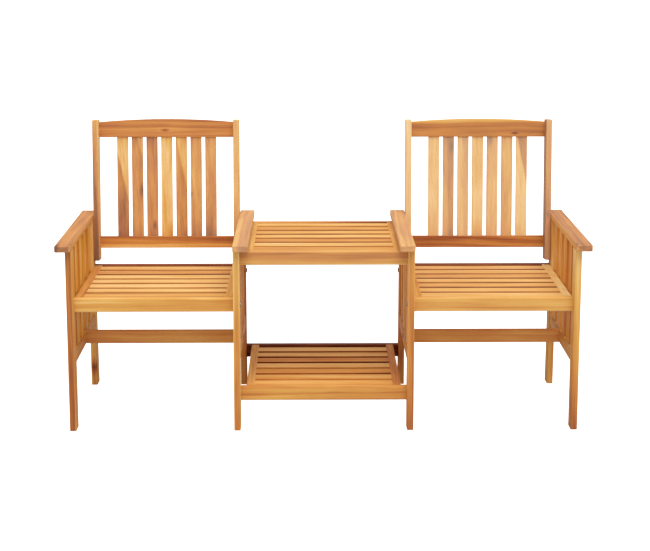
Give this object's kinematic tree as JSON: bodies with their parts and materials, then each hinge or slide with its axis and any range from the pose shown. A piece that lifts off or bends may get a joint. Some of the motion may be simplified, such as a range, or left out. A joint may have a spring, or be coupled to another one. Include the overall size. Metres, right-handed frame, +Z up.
{
  "type": "companion seat bench",
  "caption": "Wooden garden companion seat: two slatted armchairs joined by a slatted tea table with a lower shelf.",
  "frame": {"origin": "on the floor, halfway along the bench and halfway along the armrests", "axes": "+X along the bench to the right as seen from the front, +Y from the front to the back, +Z up"},
  "size_m": [1.633, 0.605, 0.9059],
  "materials": {
    "light_acacia": "oiled satin",
    "honey_acacia": "oiled satin",
    "dark_acacia": "oiled satin",
    "bolt_steel": "zinc plated, dulled"
  },
  "bodies": {
    "root": {"armrest_dowels": "light_acacia", "back_bolts": "bolt_steel", "back_threaded_inserts": "bolt_steel", "left_back_bottom_rail": "dark_acacia", "left_back_inner_post": "honey_acacia", "left_back_outer_post": "honey_acacia", "left_back_slats": "light_acacia", "left_back_top_rail": "honey_acacia", "left_inner_armrest": "light_acacia", "left_inner_front_leg": "honey_acacia", "left_inner_lower_rail": "dark_acacia", "left_inner_rear_leg": "honey_acacia", "left_inner_side_slats": "light_acacia", "left_outer_armrest": "light_acacia", "left_outer_front_leg": "honey_acacia", "left_outer_lower_rail": "dark_acacia", "left_outer_rear_leg": "honey_acacia", "left_outer_side_slats": "light_acacia", "left_seat_front_rail": "light_acacia", "left_seat_inner_rail": "honey_acacia", "left_seat_outer_rail": "honey_acacia", "left_seat_rear_rail": "dark_acacia", "left_seat_slats": "light_acacia", "left_stretcher": "dark_acacia", "rail_barrel_nuts": "bolt_steel", "rail_bolts": "bolt_steel", "rail_dowels": "honey_acacia", "right_back_bottom_rail": "dark_acacia", "right_back_inner_post": "honey_acacia", "right_back_outer_post": "honey_acacia", "right_back_slats": "light_acacia", "right_back_top_rail": "honey_acacia", "right_inner_armrest": "light_acacia", "right_inner_front_leg": "honey_acacia", "right_inner_lower_rail": "dark_acacia", "right_inner_rear_leg": "honey_acacia", "right_inner_side_slats": "light_acacia", "right_outer_armrest": "light_acacia", "right_outer_front_leg": "honey_acacia", "right_outer_lower_rail": "dark_acacia", "right_outer_rear_leg": "honey_acacia", "right_outer_side_slats": "light_acacia", "right_seat_front_rail": "light_acacia", "right_seat_inner_rail": "honey_acacia", "right_seat_outer_rail": "honey_acacia", "right_seat_rear_rail": "dark_acacia", "right_seat_slats": "light_acacia", "right_stretcher": "dark_acacia", "shelf_front_rail": "light_acacia", "shelf_left_rail": "dark_acacia", "shelf_rear_rail": "dark_acacia", "shelf_right_rail": "dark_acacia", "shelf_slats": "light_acacia", "table_front_rail": "light_acacia", "table_left_rail": "honey_acacia", "table_rear_bolts": "bolt_steel", "table_rear_rail": "dark_acacia", "table_right_rail": "honey_acacia", "table_slats": "light_acacia"}
  },
  "joints": []
}
